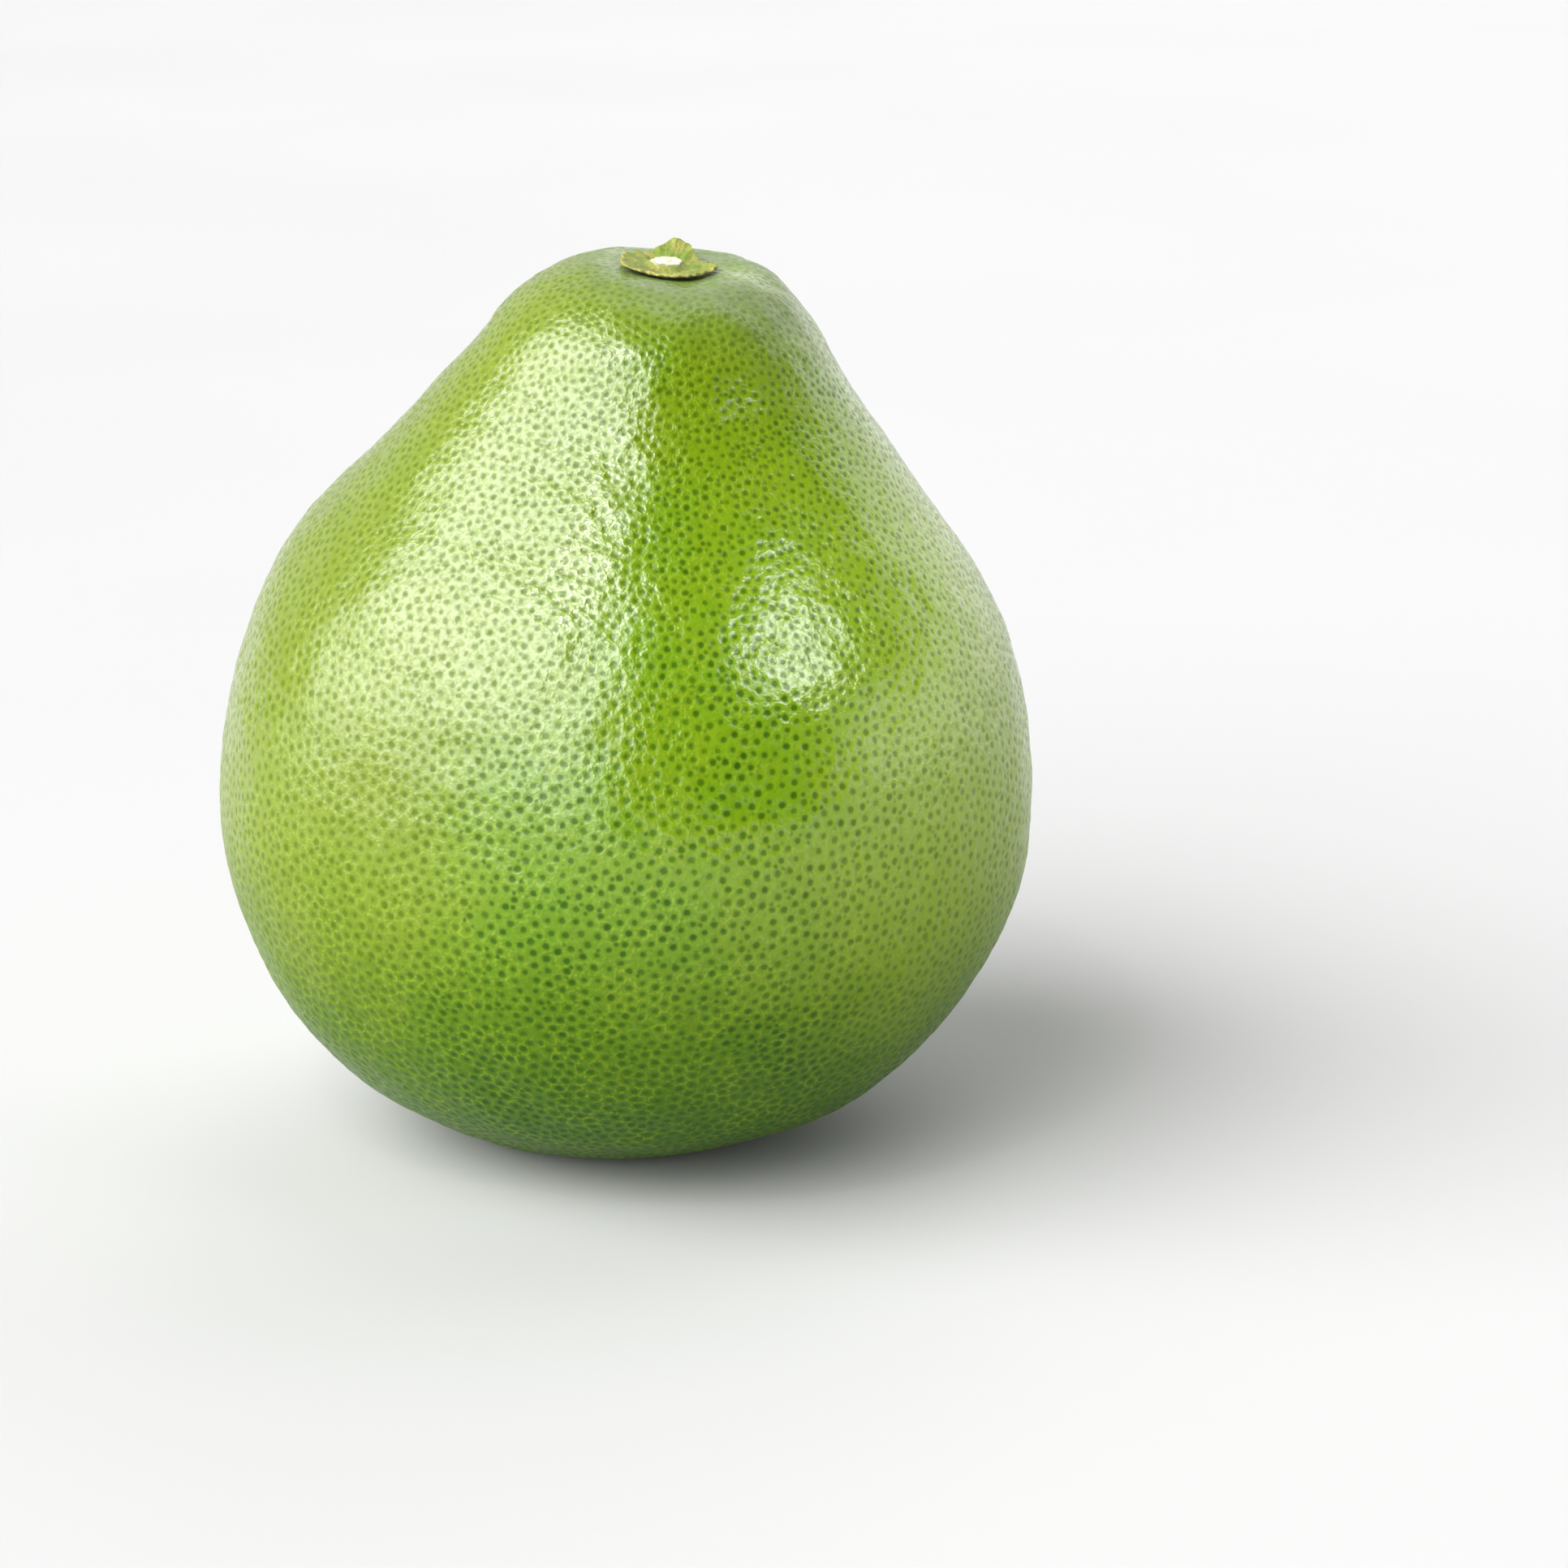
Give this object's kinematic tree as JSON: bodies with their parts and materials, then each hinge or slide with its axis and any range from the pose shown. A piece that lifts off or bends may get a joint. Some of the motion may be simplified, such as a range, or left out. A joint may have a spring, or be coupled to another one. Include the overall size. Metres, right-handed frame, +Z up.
{
  "type": "pomelo",
  "caption": "Whole green pear-shaped pomelo with dimpled oil-gland rind, dried calyx and a cut stem, standing on its blossom end.",
  "frame": {"origin": "middle of the flat spot at the blossom end that the fruit rests on", "axes": "+Z up from the resting spot to the stem end; the neck leans a little towards +X and -Y"},
  "size_m": [0.161, 0.1588, 0.1796],
  "materials": {
    "rind": "satin",
    "calyx": "matte",
    "cut_stem": "matte"
  },
  "bodies": {
    "root": {"fruit": "rind", "calyx": "calyx", "stem_stub": "cut_stem"}
  },
  "joints": []
}
